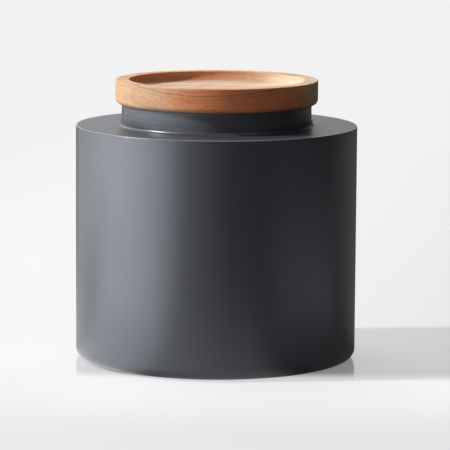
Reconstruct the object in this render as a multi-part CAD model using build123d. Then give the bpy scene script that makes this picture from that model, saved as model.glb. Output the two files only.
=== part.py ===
from build123d import *
import os

# A squat steel kitchen canister with a turned wooden lid. Millimetres, +Z up.
# The origin is the centre of the foot ring's underside, where it stands on the worktop.

# Steel body
body_radius = 89.0          # outside of the straight wall
shoulder_height = 148.5     # worktop to the flat shoulder
sheet = 0.8                 # steel of the cup, the shoulder plate and the collar
base_round = 5.5            # outside round between the wall and the base
rim_round = 0.5             # edge ground on the cup's open end
bend = 0.8                  # inside radius of the small pressed bends

# Pressed base and its foot ring
foot_stand = 0.8            # the foot ring stands this far proud of the base
panel_rise = 1.0            # the middle of the base is pressed up this far
panel_slope = 2.0           # width of the sloping step round the panel
base_land = 2.5             # flat ring of the base between that step and the outside round
foot_margin = 1.0           # glue margin between the foot ring and the step
foot_width = 7.0            # foot ring, inside edge to outside edge
foot_round = 0.5            # lower edges of the foot ring

# Shoulder and neck
skirt_depth = 8.0           # the shoulder's skirt reaches this far down inside the cup
neck_radius = 60.0          # outside of the collar
neck_height = 13.6          # shoulder to the collar's top
flange_height = 4.0         # the shoulder's upturned edge, which grips the collar
cove_round = 1.6            # hollow round between the shoulder and that edge
collar_foot = 6.0           # the collar's foot turns out this far under the shoulder
hem_run = 1.8               # the collar's folded hem reaches this far past the gasket
hem_round = 0.6             # edges of the hem's top

# Wooden lid
lid_thickness = 15.2
lid_overhang = 4.0          # the lid stands out this far past the collar
lid_lower_round = 3.3
lid_edge_round = 0.6        # crisp upper edges of the rim
rim_width = 8.9             # flat rim round the dish
dish_depth = 6.2
dish_wall = 0.3             # straight part of the dish's wall, above its cove

# Plug, gasket and screws under the lid
plug_depth = 10.8           # the plug reaches this far below the lid's underside
plug_clearance = 3.0        # all round, between the plug and the collar's hem
plug_round = 1.0
gasket_height = 7.2
groove_depth = 2.8          # the gasket sits this deep in the plug's side
gasket_web = 1.6            # thickness of the band that carries the fins
fin_count = 3
fin_root = 1.0              # thickness of a fin at the band
fin_tip = 0.5               # thickness of a fin at its edge
fin_rise = 0.7              # a fin's edge stands this far above its root
fin_clearance = 0.3         # between the fins and the hem
screw_count = 3
screw_circle = 34.0         # radius of the circle of screws
screw_radius = 1.9
screw_head_radius = 3.8
screw_bite = 6.0            # length of screw in the lid
screw_tip = 1.6             # length of the screw's point
screw_slack = 0.3           # round the screw in the plug, and past its point in the lid
recess_width = 0.9          # each arm of the cross recess
recess_length = 4.2
recess_depth = 1.3

# Heights and radii that follow from the sizes above
base_bottom = foot_stand
panel_bottom = base_bottom + panel_rise
panel_radius = body_radius - base_round - base_land - panel_slope
cup_bore = body_radius - sheet
flange_radius = neck_radius + sheet
neck_top = shoulder_height + neck_height
hem_bore = neck_radius - 2 * sheet
lid_radius = neck_radius + lid_overhang
lid_base = neck_top
lid_top = lid_base + lid_thickness
dish_radius = lid_radius - rim_width
dish_floor = lid_top - dish_depth
dish_cove = dish_depth - lid_edge_round - dish_wall
plug_radius = hem_bore - plug_clearance
plug_core = plug_radius - groove_depth
plug_base = lid_base - plug_depth
gasket_base = lid_base - gasket_height


def turned(section):
    """Turn a section, drawn as radius and height, about the canister's axis."""
    return revolve(Plane.XZ * section, Axis.Z)


def pressed(corners, bends):
    """Section of bent sheet: the given line is one face, and the steel lies to its left."""
    face_line = FilletPolyline(*corners, radius=bends)
    return make_face(offset(face_line, sheet, side=Side.LEFT).edges())


def outline(corners, rounds):
    """Closed section with its own round at each corner; 0 leaves the corner sharp."""
    return make_face(FilletPolyline(*corners, radius=rounds, close=True).edges())


def body_cup():
    """Drawn steel cup: the straight wall, the round at its foot and the stepped base."""
    corners = [
        (0, panel_bottom),
        (panel_radius, panel_bottom),
        (panel_radius + panel_slope, base_bottom),
        (body_radius, base_bottom),
        (body_radius, shoulder_height),
    ]
    section = pressed(corners, [bend, bend + sheet, base_round])
    open_end = section.vertices().group_by(Axis.Y)[-1].sort_by(Axis.X)[-1]
    return turned(fillet(open_end, rim_round))


def foot_ring():
    """Soft ring glued into the corner of the pressed base."""
    outside = panel_radius - foot_margin
    inside = outside - foot_width
    corners = [(inside, 0), (outside, 0), (outside, panel_bottom), (inside, panel_bottom)]
    return turned(outline(corners, [foot_round, foot_round, 0, 0]))


def shoulder_plate():
    """Flat shoulder: a skirt inside the cup, and an upturned edge that grips the collar."""
    corners = [
        (cup_bore, shoulder_height - skirt_depth),
        (cup_bore, shoulder_height),
        (flange_radius, shoulder_height),
        (flange_radius, shoulder_height + flange_height),
    ]
    return turned(pressed(corners, [0, cove_round]))


def neck_collar():
    """Neck tube: its foot turned out under the shoulder, its mouth folded in as a hem."""
    corners = [
        (neck_radius + collar_foot, shoulder_height - sheet),
        (neck_radius, shoulder_height - sheet),
        (neck_radius, neck_top),
    ]
    tube = pressed(corners, [cove_round + sheet])
    hem_base = gasket_base - hem_run
    hem = Pos(hem_bore, hem_base) * Rectangle(sheet, neck_top - hem_base, align=(Align.MIN, Align.MIN))
    section = tube + hem
    return turned(fillet(section.vertices().group_by(Axis.Y)[-1], hem_round))


def screw_places():
    """Points on the plug's underside where the screws go in."""
    return PolarLocations(screw_circle, screw_count)


def lid_disc():
    """Turned lid: a flat rim round a coved dish, with blind holes for the screws below."""
    corners = [
        (0, lid_base),
        (lid_radius, lid_base),
        (lid_radius, lid_top),
        (dish_radius, lid_top),
        (dish_radius, dish_floor),
        (0, dish_floor),
    ]
    rounds = [0, lid_lower_round, lid_edge_round, lid_edge_round, dish_cove, 0]
    disc = turned(outline(corners, rounds))
    hole = Cylinder(screw_radius, screw_bite + screw_slack, align=(Align.CENTER, Align.CENTER, Align.MIN))
    for place in screw_places():
        disc -= Pos(0, 0, lid_base) * place * hole
    return disc


def lid_plug():
    """Turned plug that centres the lid: a groove for the gasket and countersunk holes."""
    corners = [
        (0, plug_base),
        (plug_radius, plug_base),
        (plug_radius, gasket_base),
        (plug_core, gasket_base),
        (plug_core, lid_base),
        (0, lid_base),
    ]
    plug = turned(outline(corners, [0, plug_round, 0, 0, 0, 0]))
    sink_depth = screw_head_radius - screw_radius
    sink = Cone(screw_head_radius, screw_radius, sink_depth, align=(Align.CENTER, Align.CENTER, Align.MIN))
    hole = Cylinder(screw_radius + screw_slack, plug_depth, align=(Align.CENTER, Align.CENTER, Align.MIN))
    for place in screw_places():
        plug -= Pos(0, 0, plug_base) * place * (sink + hole)
    return plug


def lid_gasket():
    """Silicone band in the plug's groove, with thin fins that sweep up to the hem."""
    web_radius = plug_core + gasket_web
    fin_radius = hem_bore - fin_clearance
    band = [(plug_core, gasket_base), (web_radius, gasket_base), (web_radius, lid_base), (plug_core, lid_base)]
    section = make_face(Polyline(*band, close=True))
    pitch = gasket_height / fin_count
    for step in range(fin_count):
        root = gasket_base + (step + 0.5) * pitch - fin_rise / 2
        fin = [
            (plug_core, root - fin_root / 2),
            (web_radius, root - fin_root / 2),
            (fin_radius, root + fin_rise - fin_tip / 2),
            (fin_radius, root + fin_rise + fin_tip / 2),
            (web_radius, root + fin_root / 2),
            (plug_core, root + fin_root / 2),
        ]
        section += make_face(Polyline(*fin, close=True))
    return turned(section)


def lid_screws():
    """Countersunk screws that pull the plug up against the lid."""
    length = plug_depth + screw_bite
    corners = [
        (0, 0),
        (screw_head_radius, 0),
        (screw_radius, screw_head_radius - screw_radius),
        (screw_radius, length - screw_tip),
        (0, length),
    ]
    screw = turned(make_face(Polyline(*corners, close=True)))
    arm = Box(recess_length, recess_width, recess_depth, align=(Align.CENTER, Align.CENTER, Align.MIN))
    screw -= arm + Rot(0, 0, 90) * arm
    return Compound([Pos(0, 0, plug_base) * place * screw for place in screw_places()])


pieces = {
    "body_cup": body_cup(),
    "foot_ring": foot_ring(),
    "shoulder_plate": shoulder_plate(),
    "neck_collar": neck_collar(),
    "lid_disc": lid_disc(),
    "lid_plug": lid_plug(),
    "lid_gasket": lid_gasket(),
    "lid_screws": lid_screws(),
}

os.makedirs("parts", exist_ok=True)
for name, piece in pieces.items():
    export_step(piece, f"parts/{name}.step")
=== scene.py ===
from math import cos, radians, sin

import bpy
from mathutils import Matrix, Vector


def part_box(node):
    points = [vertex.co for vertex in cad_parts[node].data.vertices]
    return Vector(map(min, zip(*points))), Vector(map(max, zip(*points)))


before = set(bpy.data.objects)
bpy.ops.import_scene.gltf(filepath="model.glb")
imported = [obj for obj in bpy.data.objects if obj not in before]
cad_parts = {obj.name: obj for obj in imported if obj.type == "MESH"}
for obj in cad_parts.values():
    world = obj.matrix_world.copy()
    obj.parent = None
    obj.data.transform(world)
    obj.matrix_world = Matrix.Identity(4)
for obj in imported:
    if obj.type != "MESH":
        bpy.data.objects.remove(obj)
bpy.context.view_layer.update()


# The camera stands where the photograph was taken from: a long lens, a little above the
# lid, looking slightly down and rolled by a fraction of a degree.
camera_distance = 1.850
camera_height = 0.357
camera_lens = 235.1
camera_sensor = 36
camera_reach = 50
camera_down = radians(8.386)
camera_yaw = radians(0.177)
camera_roll = radians(0.373)

camera = bpy.data.objects.new("camera", bpy.data.cameras.new("camera"))
camera.data.lens = camera_lens
camera.data.sensor_width = camera_sensor
camera.data.clip_end = camera_reach
camera.matrix_world = (
    Matrix.Translation((0, -camera_distance, camera_height))
    @ Matrix.Rotation(-camera_yaw, 4, "Z")
    @ Matrix.Rotation(radians(90) - camera_down, 4, "X")
    @ Matrix.Rotation(camera_roll, 4, "Z")
)
bpy.context.scene.collection.objects.link(camera)
bpy.context.scene.camera = camera
bpy.context.scene.view_settings.view_transform = "Standard"


# The room is a plain soft studio. Broad soft lights stand to the left and behind, and it is dark
# where the camera stands and to its right. A bearing goes from the camera's side round by the
# left, and bearings, heights and spreads are in degrees.
soft_lights = [             # bearing, height, spread, level
    (30, 6, 24, 1.4),
    (58, 6, 24, 1.6),
    (195, 6, 24, 0.36),
    (180, 11.5, 9, 0.30),
    (145, 36, 46, 1.75),
    (165, 62, 30, 2.0),
    (330, 45, 40, 0.45),
]
soft_light_core = 0.35      # the share of the spread that has the full level
backdrop_level = 0.89


def feed(tree, node, inputs):
    """Gives each of a node's inputs its value, or the socket that feeds it."""
    for name, value in inputs.items():
        if isinstance(value, bpy.types.NodeSocket):
            tree.links.new(value, node.inputs[name])
        else:
            node.inputs[name].default_value = value


def put(tree, kind, options=None, inputs=None):
    """Adds one shader node, with its options set and its inputs fed."""
    node = tree.nodes.new("ShaderNode" + kind)
    for name, value in (options or {}).items():
        setattr(node, name, value)
    feed(tree, node, inputs or {})
    return node


def reckon(tree, operation, *values):
    """One step of arithmetic on values or sockets; gives the result's socket."""
    return put(tree, "Math", {"operation": operation}, dict(enumerate(values))).outputs[0]


def plus(tree, first, second):
    """Adds two values or sockets."""
    return reckon(tree, "ADD", first, second)


def level_between(tree, amount, first, second):
    """The first level where the amount is 0, the second where it is 1."""
    return put(tree, "Mix", inputs={0: amount, 2: first, 3: second}).outputs[0]


def eased(tree, value, low, high, at_low=0.0, at_high=1.0):
    """A smooth step: at_low where the value is under low, at_high where it is over high."""
    levels = {
        "Value": value, "From Min": low, "From Max": high, "To Min": at_low, "To Max": at_high}
    step = put(tree, "MapRange", {"interpolation_type": "SMOOTHSTEP"}, levels)
    return step.outputs["Result"]


def toward(bearing, height):
    """The direction of a bearing and a height, both in degrees."""
    turn, rise = radians(bearing), radians(height)
    return (-sin(turn) * cos(rise), -cos(turn) * cos(rise), sin(rise))


def soft_patch(tree, aim, bearing, height, spread, core, level):
    """The light from one direction: full as far as the core's angle, gone at the spread's."""
    directions = {0: aim, 1: toward(bearing, height)}
    close = put(tree, "VectorMath", {"operation": "DOT_PRODUCT"}, directions).outputs["Value"]
    return eased(tree, close, cos(radians(spread)), cos(radians(core)), 0.0, level)


world = bpy.data.worlds.new("studio")
world.use_nodes = True
bpy.context.scene.world = world
tree = world.node_tree
tree.nodes.clear()
aim = put(tree, "TexCoord").outputs["Generated"]
room = 0.0
for bearing, height, spread, level in soft_lights:
    patch = soft_patch(tree, aim, bearing, height, spread, soft_light_core * spread, level)
    room = plus(tree, room, patch)
seen = put(tree, "LightPath").outputs["Is Camera Ray"]
room = level_between(tree, seen, room, backdrop_level)
shown = put(tree, "Background", inputs={"Strength": room}).outputs[0]
put(tree, "OutputWorld", inputs={"Surface": shown})


# One soft sun stands to the left. It throws the lid's shadow across the neck, and the
# canister's own shadow over the worktop to the right.
sun_bearing = 84
sun_height = 34
sun_width = 5
sun_strength = 3.7

sun = bpy.data.objects.new("soft_sun", bpy.data.lights.new("soft_sun", "SUN"))
sun.data.energy = sun_strength
sun.data.angle = radians(sun_width)
sun.rotation_euler = (radians(90 - sun_height), 0, radians(-sun_bearing))
bpy.context.scene.collection.objects.link(sun)


# The worktop is a wide pale slab, matt in front and polished from the canister back, with a
# sheen that only low views show. Far out it fades into the backdrop, and from underneath the
# camera sees through it to the base. What the camera sees of it doesn't light the canister.
worktop_radius = 9.0
slab_colour = (0.28, 0.284, 0.284, 1)
slab_fades = (0.35, 1.8)            # how far out it turns into the backdrop
slab_glow = 0.46                    # what the camera sees besides the shaded colour
painted_light_left = 0.05               # painted light added at the left, the side the light comes from
painted_light_near = 0.16               # painted light added just in front of the canister, lifting its contact shade
painted_light_near_left = 0.4           # the share of that which is left at the left
slab_glow_behind = 0.19
slab_glow_from_above = 0.36
left_ends = (-0.30, 0.10)           # across, from left to right
near_left_ends = (-0.15, -0.02)
near_starts = (-0.25, -0.10)        # front to back
polish_starts = (-0.078, -0.052)    # front to back
polish_ends = (0.25, 0.80)          # out to either side
slab_polish = 1.45
slab_polish_ior = 1.5
slab_polish_roughness = 0.06
low_view_mirrors = (0.10, 0.30)     # the share of light mirrored at a high and at a low view

slab_light = [              # bearing, and the level near the canister, farther off and far away
    (0, 0.46, 0.14, 0.0),
    (65, 1.54, 2.45, 2.27),
    (90, 0.0, 0.0, 1.57),
    (120, 0.86, 0.77, 1.05),
    (225, 0.17, 0.19, 0.19),
    (290, 0.09, 0.44, 0.0),
]
slab_light_spread = 40.5
slab_light_core = 9
slab_light_below = 0.25             # under the canister
under_canister = (0.070, 0.088)     # how far out these change into each other
near_to_farther = (0.20, 0.30)
farther_to_far = (0.5, 0.8)
slab_light_ends = (2.0, 4.0)


def times(tree, first, *others):
    """Multiplies values or sockets."""
    for other in others:
        first = reckon(tree, "MULTIPLY", first, other)
    return first


def length(tree, vector):
    """The length of a vector."""
    return put(tree, "VectorMath", {"operation": "LENGTH"}, {0: vector}).outputs["Value"]


def unit(tree, vector):
    """The direction of a vector."""
    return put(tree, "VectorMath", {"operation": "NORMALIZE"}, {0: vector}).outputs[0]


def place(tree):
    """Where a point of the surface lies: as a vector, and as its X, Y and Z."""
    spot = put(tree, "TexCoord").outputs["Object"]
    return spot, put(tree, "SeparateXYZ", inputs={"Vector": spot}).outputs


def glowing(tree, level):
    """A shader that shines by itself."""
    return put(tree, "Emission", inputs={"Strength": level}).outputs[0]


def both(tree, first, second):
    """Two shaders added."""
    return put(tree, "AddShader", inputs={0: first, 1: second}).outputs[0]


def either(tree, amount, first, second):
    """The first shader where the amount is 0, the second where it is 1."""
    return put(tree, "MixShader", inputs={0: amount, 1: first, 2: second}).outputs[0]


bpy.ops.mesh.primitive_circle_add(vertices=96, radius=worktop_radius, fill_type="NGON")
worktop = bpy.context.object
worktop.name = "worktop"
slab = bpy.data.materials.new("pale_slab")
slab.use_nodes = True
tree = slab.node_tree
tree.nodes.clear()
spot, parts = place(tree)
across, back = parts["X"], parts["Y"]
far = length(tree, spot)
seen = put(tree, "LightPath").outputs["Is Camera Ray"]

# What the camera sees: the shaded slab with its glow, painted light in front of the canister and at
# the left, and the polish.
aside = eased(tree, reckon(tree, "ABSOLUTE", across), *polish_ends, 1.0, 0.0)
polished = times(tree, eased(tree, back, *polish_starts), aside)
painted_near_light = eased(tree, back, *near_starts, 0.0, painted_light_near)
painted_near_light = times(tree, painted_near_light, eased(tree, across, *near_left_ends, painted_light_near_left, 1.0))
glow = plus(tree, painted_near_light, eased(tree, across, *left_ends, slab_glow + painted_light_left, slab_glow))
glow = level_between(tree, polished, glow, slab_glow_behind)
mirrored = put(tree, "Fresnel", inputs={"IOR": slab_polish_ior}).outputs[0]
low_view = eased(tree, mirrored, *low_view_mirrors)
glow = level_between(tree, low_view, slab_glow_from_above, glow)
shaded_slab = put(tree, "BsdfDiffuse", inputs={"Color": slab_colour}).outputs[0]
polish = put(tree, "BsdfGlossy", inputs={
    "Color": times(tree, polished, mirrored, slab_polish, low_view),
    "Roughness": slab_polish_roughness}).outputs[0]
stone = both(tree, both(tree, shaded_slab, glowing(tree, glow)), polish)

# What it throws up at the canister, bearing by bearing.
around = unit(tree, spot)
thrown = 0.0
for bearing, near_by, farther, far_away in slab_light:
    level = eased(tree, far, *near_to_farther, near_by, farther)
    level = level_between(tree, eased(tree, far, *farther_to_far), level, far_away)
    patch = soft_patch(tree, around, bearing, 0, slab_light_spread, slab_light_core, level)
    thrown = plus(tree, thrown, patch)
thrown = times(tree, thrown, eased(tree, far, *slab_light_ends, 1.0, 0.0))
thrown = level_between(tree, eased(tree, far, *under_canister), slab_light_below, thrown)

laid = either(tree, seen, glowing(tree, thrown), stone)
hazy = times(tree, eased(tree, far, *slab_fades), seen)
laid = either(tree, hazy, laid, glowing(tree, backdrop_level))
from_below = times(tree, put(tree, "NewGeometry").outputs["Backfacing"], seen)
laid = either(tree, from_below, laid, put(tree, "BsdfTransparent").outputs[0])
put(tree, "OutputMaterial", inputs={"Surface": laid})
worktop.data.materials.append(slab)


# The body cup is drawn from one disc of steel: a straight wall, a rounded foot and a stepped
# base. Outside it has a satin charcoal powder coat, baked on; inside the steel is left bare.
coat_colour = (0.053, 0.057, 0.067, 1)
coat_worn = (0.20, 0.20, 0.205, 1)
coat_roughness = 0.32
coat_specular = 1.0
coat_ior = 1.55
coat_sheen_tint = (0.86, 0.90, 1.0, 1)
cloud_scale = 14.0                  # slow changes in the sheen
cloud_shade = (0.93, 1.04)
cloud_sheen = (0.02, -0.02)
peel_scale = 620.0                  # orange peel
peel_bump = (0.35, 0.00004)         # strength and depth
speck_scale = 2600.0                # fine speckle
speck_shade = (-0.05, 0.05)
speck_height = 0.35                 # against the peel's
worn_sheen = 0.02                   # how much smoother it is rubbed
steel_colour = (0.58, 0.57, 0.55, 1)
steel_roughness = 0.37
steel_ring_scale = 2600.0
steel_ring_drift = 1.5
steel_ring_shade = (0.86, 1.08)
steel_ring_bump = (0.5, 0.00002)
smear_scale = 22.0
smear_sheen = (-0.05, 0.09)
coat_end_scale = 300.0
coat_end_blur = 0.0004
coat_end_ragged = 0.0005
inward_faces = (0.3, 0.5)           # from faces that don't count as inside to those that do
cup_coat_ends = 0.20                # above the cup: its whole inside is bare
cup_edge = (0.089, 0.1485)          # radius and height of its crisp upper edge
edge_reach = 0.0008
edge_ragged_scale = 160.0
edge_ragged = (0.5, 1.6)            # how much less and more than its reach is rubbed
edge_fades = (0.2, 1.0)
coat_edge_wear = 0.05
small_swing = 0.2                   # how far a soft noise strays from one half


def start_group(name, takes, gives):
    """A node group: takes maps each input to its default, gives each output to its kind."""
    group = bpy.data.node_groups.new(name, "ShaderNodeTree")
    for socket, value in takes.items():
        kind = "Float" if isinstance(value, float) else ("Vector" if len(value) == 3 else "Color")
        made = group.interface.new_socket(
            socket, in_out="INPUT", socket_type="NodeSocket" + kind)
        made.default_value = value
    for socket, kind in gives.items():
        group.interface.new_socket(socket, in_out="OUTPUT", socket_type="NodeSocket" + kind)
    inside = group.nodes.new("NodeGroupInput").outputs
    outside = group.nodes.new("NodeGroupOutput")
    return group, inside, outside


def effect(tree, group, values=None):
    """Places one of the shared groups in a material; gives its outputs."""
    return put(tree, "Group", {"node_tree": group}, values).outputs


def minus(tree, first, second):
    """Takes the second value or socket from the first."""
    return reckon(tree, "SUBTRACT", first, second)


def blend(tree, amount, first, second):
    """The first colour where the amount is 0, the second where it is 1."""
    return put(tree, "Mix", {"data_type": "RGBA"}, {0: amount, 6: first, 7: second}).outputs[2]


def scaled(tree, vector, scale):
    """The vector with each of its parts multiplied."""
    return put(tree, "VectorMath", {"operation": "MULTIPLY"}, {0: vector, 1: scale}).outputs[0]


def shaded(tree, colour, amount):
    """The colour made darker or lighter by an amount."""
    return put(tree, "VectorMath", {"operation": "SCALE"}, {0: colour, "Scale": amount}).outputs[0]


def noise(tree, vector, scale, detail=2.0, roughness=0.5, gives="Fac"):
    """Soft noise between 0 and 1."""
    values = {"Vector": vector, "Scale": scale, "Detail": detail, "Roughness": roughness}
    return put(tree, "TexNoise", inputs=values).outputs[gives]


def varied(tree, value, at_low, at_high, swing=0.25):
    """Soft noise, which swings about one half, spread over a range of values."""
    return eased(tree, value, 0.5 - swing, 0.5 + swing, at_low, at_high)


def from_axis(tree, spot):
    """How far a point lies from the canister's upright axis."""
    return length(tree, scaled(tree, spot, (1, 1, 0)))


def bumped(tree, height, strength, depth):
    """A fine relief as a normal; the depth is in metres."""
    values = {"Strength": strength, "Distance": depth, "Height": height}
    return put(tree, "Bump", inputs=values).outputs[0]


# Where a crisp turned edge is rubbed: a ragged ring of the given radius and height.
rubbed_edge, inside, outside = start_group(
    "rubbed_edge", {"Radius": cup_edge[0], "Height": cup_edge[1], "Reach": edge_reach},
    {"Mask": "Float"})
tree = rubbed_edge
spot, parts = place(tree)
out = minus(tree, from_axis(tree, spot), inside["Radius"])
up = minus(tree, parts["Z"], inside["Height"])
gap = reckon(tree, "SQRT", plus(tree, times(tree, out, out), times(tree, up, up)))
ragged = varied(tree, noise(tree, spot, edge_ragged_scale, 3.0), *edge_ragged, small_swing)
near = reckon(tree, "DIVIDE", gap, times(tree, inside["Reach"], ragged))
feed(tree, outside, {"Mask": eased(tree, near, *edge_fades, 1.0, 0.0)})

# The satin powder coat: a faint orange peel, a fine speckle and slow changes in its sheen.
powder_coat, inside, outside = start_group(
    "powder_coat",
    {"Colour": coat_colour, "Worn": coat_worn, "Wear": 0.0, "Sheen roughness": coat_roughness},
    {"Colour": "Color", "Roughness": "Float", "Height": "Float"})
tree = powder_coat
spot = put(tree, "TexCoord").outputs["Object"]
clouds = noise(tree, spot, cloud_scale, 3.0)
peel = noise(tree, spot, peel_scale, 2.0)
speck = noise(tree, spot, speck_scale, 1.0)
shade = varied(tree, speck, *speck_shade, small_swing)
shade = plus(tree, varied(tree, clouds, *cloud_shade), shade)
tinted = shaded(tree, inside["Colour"], shade)
sheen = plus(tree, inside["Sheen roughness"], varied(tree, clouds, *cloud_sheen))
feed(tree, outside, {
    "Colour": blend(tree, inside["Wear"], tinted, inside["Worn"]),
    "Roughness": minus(tree, sheen, times(tree, inside["Wear"], worn_sheen)),
    "Height": plus(tree, peel, times(tree, speck, speck_height))})

# Bare spun steel: fine rings left by the spinning tool, which follow the axis of the piece.
spun_steel, inside, outside = start_group(
    "spun_steel", {"Colour": steel_colour, "Polish": steel_roughness},
    {"Colour": "Color", "Roughness": "Float", "Height": "Float"})
tree = spun_steel
spot, parts = place(tree)
turn = reckon(tree, "ARCTAN2", parts["Y"], parts["X"])
wound = put(tree, "CombineXYZ", inputs={
    "X": times(tree, from_axis(tree, spot), steel_ring_scale),
    "Y": times(tree, parts["Z"], steel_ring_scale),
    "Z": times(tree, turn, steel_ring_drift)}).outputs[0]
rings = noise(tree, wound, 1.0, 3.0, 0.6)
smears = noise(tree, spot, smear_scale, 3.0)
feed(tree, outside, {
    "Colour": shaded(tree, inside["Colour"], varied(tree, rings, *steel_ring_shade)),
    "Roughness": plus(tree, inside["Polish"], varied(tree, smears, *smear_sheen, small_swing)),
    "Height": rings})

# Where the coat stops on the inside of a pressed piece: below a height, and only on faces that
# look at the axis. Floor is 1 where faces that look up are inside too, and -1 where faces that
# look down are.
coat_stops, inside, outside = start_group(
    "coat_stops", {"Ends": 0.16, "Floor": 0.0}, {"Bare": "Float"})
tree = coat_stops
spot, parts = place(tree)
normal = put(tree, "TexCoord").outputs["Normal"]
outward = {0: normal, 1: unit(tree, scaled(tree, spot, (1, 1, 0)))}
turned_out = put(tree, "VectorMath", {"operation": "DOT_PRODUCT"}, outward).outputs["Value"]
lifted = put(tree, "SeparateXYZ", inputs={"Vector": normal}).outputs["Z"]
inwards = minus(tree, times(tree, lifted, inside["Floor"]), turned_out)
ragged = noise(tree, spot, coat_end_scale, 3.0)
ragged = varied(tree, ragged, -coat_end_ragged, coat_end_ragged, small_swing)
depth = plus(tree, minus(tree, inside["Ends"], parts["Z"]), ragged)
low_enough = eased(tree, depth, -coat_end_blur, coat_end_blur)
feed(tree, outside, {"Bare": times(tree, eased(tree, inwards, *inward_faces), low_enough)})


def new_material(name):
    """A material with one Principled shader; gives the material, its tree and the shader."""
    material = bpy.data.materials.new(name)
    material.use_nodes = True
    tree = material.node_tree
    tree.nodes.clear()
    shader = put(tree, "BsdfPrincipled")
    put(tree, "OutputMaterial", inputs={"Surface": shader.outputs[0]})
    return material, tree, shader


def coated_steel(name, ends, floor, edge, wear, colour=coat_colour,
                 roughness=coat_roughness, specular=coat_specular):
    """Charcoal coat outside, spun steel inside, rubbed along one crisp edge."""
    material, tree, shader = new_material(name)
    rub = effect(tree, rubbed_edge, {"Radius": edge[0], "Height": edge[1]})["Mask"]
    coat = effect(tree, powder_coat, {
        "Colour": colour, "Sheen roughness": roughness, "Wear": times(tree, rub, wear)})
    steel = effect(tree, spun_steel)
    bare = effect(tree, coat_stops, {"Ends": ends, "Floor": floor})["Bare"]
    peel = bumped(tree, coat["Height"], *peel_bump)
    rings = bumped(tree, steel["Height"], *steel_ring_bump)
    normal = put(tree, "Mix", {"data_type": "VECTOR"}, {0: bare, 4: peel, 5: rings})
    feed(tree, shader, {
        "Base Color": blend(tree, bare, coat["Colour"], steel["Colour"]),
        "Roughness": level_between(tree, bare, coat["Roughness"], steel["Roughness"]),
        "Metallic": bare,
        "Normal": normal.outputs[1],
        "Specular IOR Level": specular,
        "Specular Tint": coat_sheen_tint,
        "IOR": coat_ior})
    return material


def dress(node_name, material):
    """Gives a piece its finish."""
    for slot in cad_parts[node_name].material_slots:
        slot.material = material


cup_finish = coated_steel("cup_finish", cup_coat_ends, 1.0, cup_edge, coat_edge_wear)
dress("body_cup", cup_finish)


# The foot ring is moulded in black rubber and glued into the corner of the pressed base. It
# stands a little proud, so the steel never touches the worktop.
rubber_colour = (0.018, 0.018, 0.019, 1)
rubber_dusty = (0.06, 0.058, 0.055, 1)
rubber_roughness = (0.62, 0.82)
dust_scale = 90.0
dust_shows = (0.5, 0.75)
grit_scale = 1800.0
grit_bump = (0.5, 0.00005)

rubber, tree, shader = new_material("foot_rubber")
spot = put(tree, "TexCoord").outputs["Object"]
dust = noise(tree, spot, dust_scale, 4.0, 0.6)
grit = noise(tree, spot, grit_scale, 2.0)
feed(tree, shader, {
    "Base Color": blend(tree, eased(tree, dust, *dust_shows), rubber_colour, rubber_dusty),
    "Roughness": varied(tree, dust, *rubber_roughness, small_swing),
    "Normal": bumped(tree, grit, *grit_bump)})
dress("foot_ring", rubber)


# The shoulder plate closes the cup: its skirt is pressed down inside the wall, and a small
# hollow round turns its inner edge up to grip the neck. It is coated together with the cup.
plate_coat_ends = 0.148
flange_edge = (0.0608, 0.1525)

shoulder_finish = coated_steel(
    "shoulder_finish", plate_coat_ends, -1.0, flange_edge, coat_edge_wear)
dress("shoulder_plate", shoulder_finish)


# The neck collar rises inside the shoulder's turned-up edge. Its mouth is folded in as a hem,
# and the coat wraps about 3 mm over the fold before it stops. It is a touch paler and rougher
# than the body, and the lid has rubbed the coat off its mouth.
coat_wrap = 0.003
collar_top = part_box("neck_collar")[1].z
collar_coat_ends = collar_top - coat_wrap
mouth_edge = (0.0600, collar_top)
mouth_wear = 0.5
collar_colour = (0.075, 0.081, 0.094, 1)
collar_roughness = 0.34
collar_specular = 0.5

collar_finish = coated_steel(
    "collar_finish", collar_coat_ends, 0.0, mouth_edge, mouth_wear,
    collar_colour, collar_roughness, collar_specular)
dress("neck_collar", collar_finish)


# The lid is turned from one flat-sawn board of reddish hardwood, its grain running left to right,
# and finished with oil. The growth rings lie nearly flat in the board, so the side shows fine level
# lines and the top long arches. A darker heart runs through its lower front corner, reaching more
# of the front at the right, where it also paints the shade on the lid's side.
wood_pale = (0.53, 0.335, 0.195, 1)
wood_deep_and_shade = (0.68, 0.220, 0.090, 1)
wood_late = (0.30, 0.105, 0.045, 1)
wood_gold = (0.76, 0.39, 0.13, 1)
wood_pore = (0.11, 0.042, 0.022, 1)
# Painted light: paler wood on the level faces, standing in for their sheen, and on the sunlit right
# of the dish's wall.
wood_painted_light = (0.79, 0.57, 0.41, 1)
wood_roughness = (0.52, 0.60)
wood_specular = 0.35
wood_ior = 1.40
wood_bump = (0.6, 0.00008)              # strength and depth
fibre_height = 0.25                     # these three are shares of that depth
pore_height = 0.8
late_height = 0.15
ring_width = 0.0014
ring_crowding = 2.5                     # how many rings the spacing wanders by
ring_crowding_scale = 0.4
late_starts = (0.35, 0.92)              # shares of one ring's width
late_stops = (0.95, 1.0)
late_strength = (0.25, 0.75)            # from year to year
late_under_painted_sheen = 0.75                  # how much of it the painted sheen covers
pith = (0.0, 0.020, -0.300)             # a point on its line, and how that line leans
pith_drift = (0.0, 0.05, 0.030)
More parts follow.
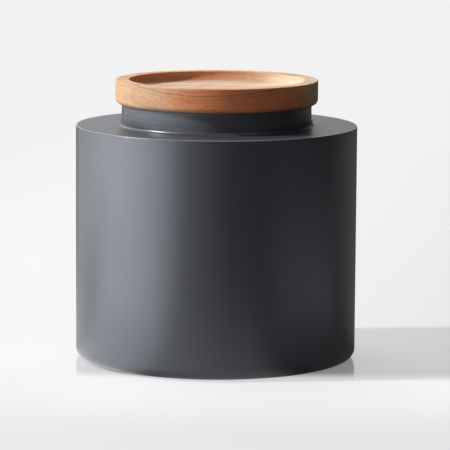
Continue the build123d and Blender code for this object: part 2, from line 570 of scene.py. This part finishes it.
# The heart is partly painted shade: it is placed so the front right of the lid, which lies in
# shade, comes out deeper red.
heart = (0.0, -0.080, 0.158)
heart_drift = (0.0, 0.30, 0.0)
heart_radius = 0.031
heart_blur = 0.010
heart_ragged = 0.006
slow_sway = ((7, 22, 22), 0.007)        # how often and how far the grain bends
fine_sway = ((30, 130, 130), 0.0012)
fibre_scale = (12, 650, 650)            # along the board, across it and up through it
fibre_shade = (0.86, 1.10)
streak_scale = (4, 55, 110)
streak_shade = (0.92, 1.06)
gold_scale = (9, 300, 420)
gold_shows = (0.55, 0.72)
gold_strength = 0.30
vessel_scale = (150, 2600, 2600)
pore_shows = (0.62, 0.72)
pore_strength = 0.6
pore_roughness = 0.2
pore_by_late = (0.1, 0.5, 1.0, 0.3)     # pores thin out as the late wood begins
top_painted_sheen = 0.75                       # painted sheen: the level faces made paler, standing in for the sheen seen on them at low views
painted_sheen_by_streak = (0.30, 0.62, 0.55, 1.1)
level_faces = (0.85, 0.99)
rim_starts = (0.050, 0.057)
rim_painted_sheen = 0.65
dish_wall_heights = (0.1711, 0.1720)
dish_wall_radii = (0.0552, 0.0556)
# Where the painted shade and the painted light lie on the dish's wall.
wall_shade_along = (-0.020, 0.045, 0.75, 0.0)  # from left to right
wall_shade_across = (-0.020, 0.020, 0.25, 1.0)  # from front to back
wall_light_along = (0.020, 0.050, 0.0, 0.8)
lid_rim_width = 0.0089
lid_edge_wear = 0.35
wood_worn_dry = 0.1                     # how much rougher it is rubbed


def moved(tree, vector, other, operation="ADD"):
    """Adds two vectors, or takes the second from the first with SUBTRACT."""
    return put(tree, "VectorMath", {"operation": operation}, {0: vector, 1: other}).outputs[0]


def distance_from_line(tree, spot, along, through, drift):
    """How far a point is from a line that runs along the board and drifts sideways."""
    off = scaled(tree, moved(tree, spot, through, "SUBTRACT"), (0, 1, 1))
    drifted = put(tree, "VectorMath", {"operation": "SCALE"}, {0: drift, "Scale": along})
    return length(tree, moved(tree, off, drifted.outputs[0], "SUBTRACT"))


def swayed(tree, spot, scale, reach):
    """Noise that bends straight grain, up to half the reach each way."""
    sway = noise(tree, scaled(tree, spot, scale), 1.0, 2.0, gives="Color")
    return scaled(tree, moved(tree, sway, (0.5, 0.5, 0.5), "SUBTRACT"), (0, reach, reach))


timber, inside, outside = start_group(
    "timber",
    {"Pale": wood_pale, "Deep and shade": wood_deep_and_shade, "Pith": pith, "Ring width": ring_width,
     "Heart": heart, "Heart radius": heart_radius, "Painted sheen": top_painted_sheen},
    {"Colour": "Color", "Roughness": "Float", "Height": "Float"})
tree = timber
spot, parts = place(tree)
along, across, height = parts["X"], parts["Y"], parts["Z"]
away = from_axis(tree, spot)
bent = moved(tree, spot, swayed(tree, spot, *slow_sway))
bent = moved(tree, bent, swayed(tree, spot, *fine_sway))

# Growth rings: each is a shell round the pith that darkens to its late wood and then stops.
depth = distance_from_line(tree, bent, along, inside["Pith"], pith_drift)
count = reckon(tree, "DIVIDE", depth, inside["Ring width"])
in_line = put(tree, "CombineXYZ", inputs={"X": count}).outputs[0]
crowding = noise(tree, in_line, ring_crowding_scale, 1.0)
count = plus(tree, count, times(tree, crowding, ring_crowding))
phase = reckon(tree, "FRACT", count)
late = times(
    tree, eased(tree, phase, *late_starts), eased(tree, phase, *late_stops, 1.0, 0.0))
year = put(tree, "TexWhiteNoise", {"noise_dimensions": "1D"}, {"W": reckon(tree, "FLOOR", count)})
late = times(tree, late, level_between(tree, year.outputs["Value"], *late_strength))

# Fibres, broader streaks, golden flecks and open pores, all drawn out along the board.
fibre = noise(tree, scaled(tree, bent, fibre_scale), 1.0, 4.0, 0.6)
streak = noise(tree, scaled(tree, bent, streak_scale), 1.0, 2.0)
gold = eased(tree, noise(tree, scaled(tree, bent, gold_scale), 1.0, 2.0), *gold_shows)
vessel = noise(tree, scaled(tree, spot, vessel_scale), 1.0, 1.0)
pore = times(tree, eased(tree, vessel, *pore_shows), eased(tree, late, *pore_by_late))

# The redder heart, with a ragged edge: a heart band in the wood, laid and drifted so that it also
# paints the shade on the lid's front right.
core = distance_from_line(tree, bent, along, inside["Heart"], heart_drift)
core = minus(tree, core, inside["Heart radius"])
core = plus(tree, core, varied(tree, streak, -heart_ragged, heart_ragged, small_swing))
heart_and_painted_shade = eased(tree, core, -heart_blur, heart_blur, 1.0, 0.0)
ground = blend(tree, heart_and_painted_shade, inside["Pale"], inside["Deep and shade"])
ground = blend(tree, times(tree, gold, gold_strength), ground, wood_gold)

# Painted sheen: the level faces are made paler, standing in for the sheen they show at low views,
# the dish's floor more than the rim.
normal = put(tree, "TexCoord").outputs["Normal"]
lifted = put(tree, "SeparateXYZ", inputs={"Vector": normal}).outputs["Z"]
painted_sheen_share = eased(tree, away, *rim_starts, 1.0, rim_painted_sheen)
painted_sheen_share = times(tree, painted_sheen_share, eased(tree, streak, *painted_sheen_by_streak))
painted_sheen = times(tree, eased(tree, lifted, *level_faces), painted_sheen_share, inside["Painted sheen"])
ground = blend(tree, painted_sheen, ground, wood_painted_light)
late = times(tree, late, minus(tree, 1.0, times(tree, painted_sheen, late_under_painted_sheen)))
ground = blend(tree, late, ground, wood_late)
shade = times(tree, varied(tree, fibre, *fibre_shade), varied(tree, streak, *streak_shade))
ground = shaded(tree, ground, shade)

# Painted light and shade on the dish's coved wall: deeper red at the back and left, where it lies
# in shade, and paler at the right, where the sun lights it.
coved = times(
    tree, eased(tree, height, *dish_wall_heights), eased(tree, away, *dish_wall_radii, 1.0, 0.0))
painted_wall_shade = times(tree, coved, eased(tree, along, *wall_shade_along), eased(tree, across, *wall_shade_across))
ground = blend(tree, painted_wall_shade, ground, inside["Deep and shade"])
painted_wall_light = times(tree, coved, eased(tree, along, *wall_light_along))
ground = blend(tree, painted_wall_light, ground, wood_painted_light)

relief = minus(tree, times(tree, fibre, fibre_height), times(tree, pore, pore_height))
roughened = varied(tree, fibre, *wood_roughness, small_swing)
feed(tree, outside, {
    "Colour": blend(tree, times(tree, pore, pore_strength), ground, wood_pore),
    "Roughness": plus(tree, roughened, times(tree, pore, pore_roughness)),
    "Height": plus(tree, relief, times(tree, late, late_height))})


def turned_wood(name, values, edges, wear):
    """Oiled timber, dry and paler along the crisp edges that hands rub."""
    material, tree, shader = new_material(name)
    wood = effect(tree, timber, values)
    worn = 0.0
    for radius, height in edges:
        rub = effect(tree, rubbed_edge, {"Radius": radius, "Height": height})["Mask"]
        worn = reckon(tree, "MAXIMUM", worn, rub)
    worn = times(tree, worn, wear)
    feed(tree, shader, {
        "Base Color": blend(tree, worn, wood["Colour"], wood_pale),
        "Roughness": plus(tree, wood["Roughness"], times(tree, worn, wood_worn_dry)),
        "Normal": bumped(tree, wood["Height"], *wood_bump),
        "Specular IOR Level": wood_specular,
        "IOR": wood_ior})
    return material


lid_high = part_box("lid_disc")[1]
lid_edges = [(lid_high.x, lid_high.z), (lid_high.x - lid_rim_width, lid_high.z)]
dress("lid_disc", turned_wood("lid_wood", {}, lid_edges, lid_edge_wear))


# The plug is turned from the same wood as the lid and screwed to it from below. It centres the
# lid in the neck and carries the gasket in a groove.
plug_pith = (0.0, 0.040, 0.080)
plug_heart = (0.0, 0.020, 0.130)
plug_edge_wear = 0.3

plug_low, plug_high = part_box("lid_plug")
plug_edges = [(plug_high.x, plug_low.z)]
plug_board = {"Pith": plug_pith, "Heart": plug_heart}
dress("lid_plug", turned_wood("plug_wood", plug_board, plug_edges, plug_edge_wear))


# The gasket is one band of clear-white silicone, stretched into the plug's groove. Its three
# thin fins seal on the neck's folded hem.
silicone_clear = (0.74, 0.735, 0.71, 1)
silicone_hazy = (0.60, 0.59, 0.56, 1)
silicone_roughness = (0.34, 0.5)
silicone_clearness = 0.35
silicone_lets_in = (0.003, 0.0028, 0.0025)      # how deep red, green and blue light goes
haze_scale = 70.0
haze_shows = (0.35, 0.75)
lint_scale = 900.0
lint_bump = (0.3, 0.00004)

silicone, tree, shader = new_material("silicone")
spot = put(tree, "TexCoord").outputs["Object"]
haze = noise(tree, spot, haze_scale, 3.0)
lint = noise(tree, spot, lint_scale, 2.0)
feed(tree, shader, {
    "Base Color": blend(tree, eased(tree, haze, *haze_shows), silicone_clear, silicone_hazy),
    "Roughness": varied(tree, haze, *silicone_roughness, small_swing),
    "Normal": bumped(tree, lint, *lint_bump),
    "Subsurface Weight": silicone_clearness,
    "Subsurface Radius": silicone_lets_in,
    "Subsurface Scale": 1.0})
dress("lid_gasket", silicone)


# Three countersunk steel screws hold the plug up against the lid. They are zinc plated, dulled
# in patches and scuffed by the driver.
zinc_colour = (0.62, 0.62, 0.60, 1)
zinc_dull = (0.42, 0.42, 0.42, 1)
zinc_roughness = (0.31, 0.46)
bloom_scale = 420.0
bloom_shows = (0.4, 0.7)
scuff_scale = (300, 2400, 900)
scuff_bump = (0.4, 0.00002)

zinc, tree, shader = new_material("screw_zinc")
spot = put(tree, "TexCoord").outputs["Object"]
bloom = noise(tree, spot, bloom_scale, 3.0)
scuffs = noise(tree, scaled(tree, spot, scuff_scale), 1.0, 3.0, 0.6)
feed(tree, shader, {
    "Base Color": blend(tree, eased(tree, bloom, *bloom_shows), zinc_colour, zinc_dull),
    "Roughness": varied(tree, scuffs, *zinc_roughness, small_swing),
    "Normal": bumped(tree, scuffs, *scuff_bump),
    "Metallic": 1.0})
dress("lid_screws", zinc)
